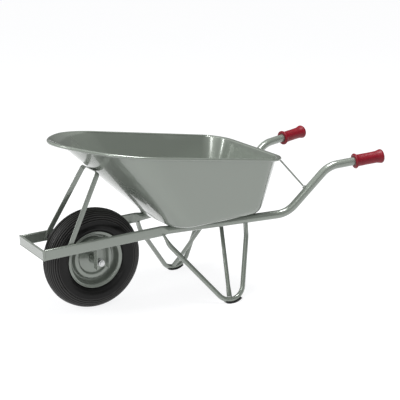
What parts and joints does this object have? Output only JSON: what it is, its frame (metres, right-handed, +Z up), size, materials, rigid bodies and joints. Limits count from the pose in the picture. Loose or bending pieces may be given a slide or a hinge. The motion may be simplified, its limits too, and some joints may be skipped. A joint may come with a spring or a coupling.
{
  "type": "wheelbarrow",
  "caption": "Builder's wheelbarrow: a deep pressed-steel tray on a welded tube frame with a pneumatic front wheel, V-shaped legs, a front stay and flanged hand grips.",
  "frame": {"origin": "middle of the footprint, on the ground", "axes": "+X towards the handles, -Y the operator's left hand, +Z up"},
  "size_m": [1.4402, 0.629, 0.676],
  "materials": {
    "paint": "glossy grey-green stoved paint",
    "zinc": "bright zinc plate",
    "tyre": "matt black rubber",
    "butyl": "smooth black rubber",
    "cap_plastic": "black moulded cap",
    "grip_plastic": "satin crimson moulding",
    "nylon": "natural nylon",
    "skid_steel": "satin black paint",
    "brass": "turned brass"
  },
  "bodies": {
    "barrow": {"axle": "zinc", "left_axle_spacer": "zinc", "right_axle_spacer": "zinc", "left_axle_washer": "zinc", "right_axle_washer": "zinc", "left_axle_nut": "zinc", "right_axle_nut": "zinc", "left_frame_tube": "paint", "right_frame_tube": "paint", "front_bar": "paint", "crossbar": "paint", "left_leg": "paint", "right_leg": "paint", "left_leg_brace": "paint", "right_leg_brace": "paint", "left_foot_skid": "skid_steel", "right_foot_skid": "skid_steel", "left_axle_bracket": "paint", "right_axle_bracket": "paint", "front_stay": "paint", "left_rear_stay": "paint", "right_rear_stay": "paint", "left_stay_tab": "paint", "right_stay_tab": "paint", "left_grip": "grip_plastic", "right_grip": "grip_plastic", "tray": "paint", "left_front_tray_bolt": "zinc", "right_front_tray_bolt": "zinc", "left_front_tray_nut": "zinc", "right_front_tray_nut": "zinc", "left_rear_tray_bolt": "zinc", "right_rear_tray_bolt": "zinc", "left_rear_tray_nut": "zinc", "right_rear_tray_nut": "zinc", "left_stay_screw": "zinc", "right_stay_screw": "zinc"},
    "wheel": {"tyre": "tyre", "inner_tube": "butyl", "left_rim_half": "paint", "right_rim_half": "paint", "hub_tube": "paint", "left_hub_bush": "nylon", "right_hub_bush": "nylon", "valve_stem": "brass", "valve_cap": "cap_plastic"}
  },
  "joints": [
    {"name": "wheel_spin", "type": "hinge", "parent": "barrow", "child": "wheel", "pos_m": [-0.46857, 0, 0.2], "axis": [0, 1, 0], "continuous": true}
  ]
}
